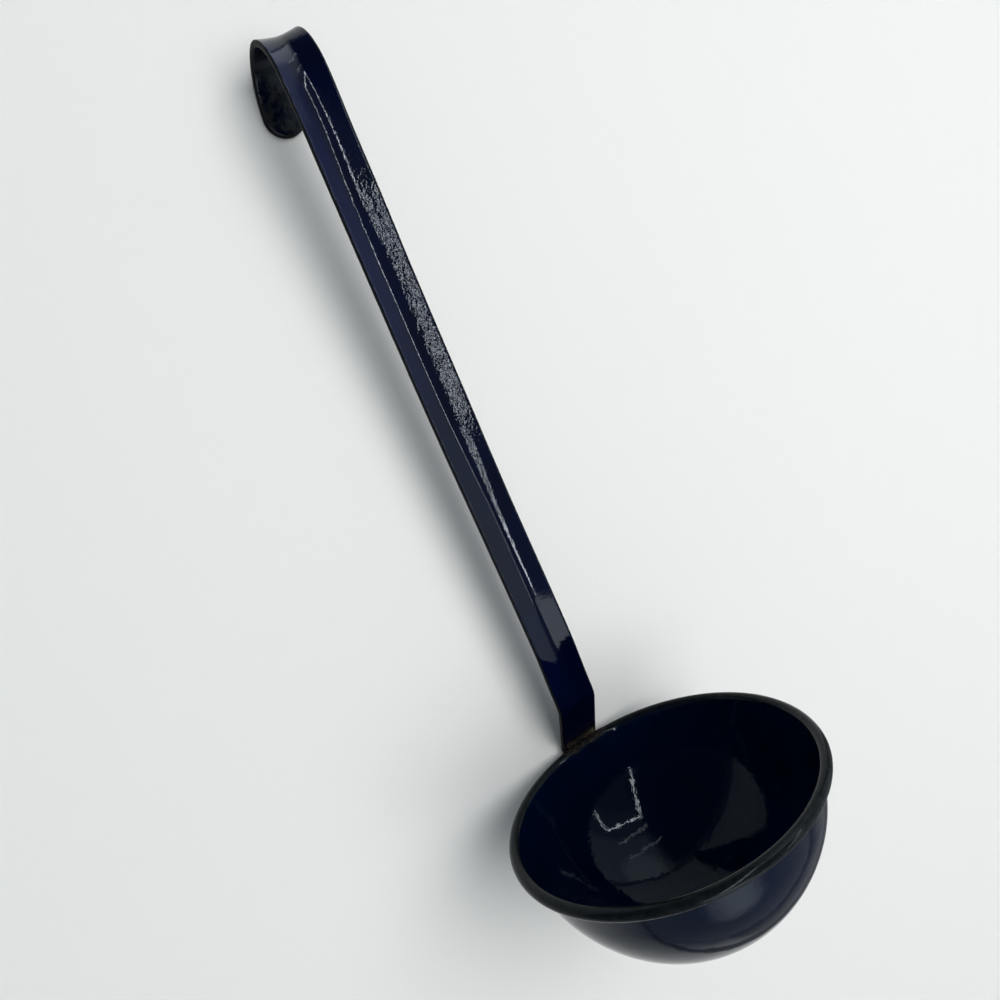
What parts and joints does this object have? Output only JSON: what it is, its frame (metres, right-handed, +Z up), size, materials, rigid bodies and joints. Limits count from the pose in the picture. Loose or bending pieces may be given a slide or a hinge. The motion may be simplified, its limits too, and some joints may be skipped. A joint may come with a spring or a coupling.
{
  "type": "ladle",
  "caption": "Enamelled ladle: a deep round bowl with a rolled rim, welded to a strap handle that leans in at the neck, runs straight as a shallow trough and turns over into a hook for hanging.",
  "frame": {"origin": "on the surface that the ladle lies on, under the middle of its length", "axes": "+X from the bowl towards the hook, along the bowl's axis; +Y across the strap; +Z up as the ladle lies on its back, handle below the bowl's axis"},
  "size_m": [0.293, 0.1, 0.1025],
  "materials": {
    "enamel": "glossy dark cobalt vitreous enamel on steel, slight orange peel, charcoal on the rim roll",
    "weld": "rough weld metal with chipped enamel and rust stain"
  },
  "bodies": {
    "root": {"bowl": "enamel", "handle": "enamel", "rim_weld": "weld", "spot_weld_upper": "weld", "spot_weld_lower": "weld"}
  },
  "joints": []
}
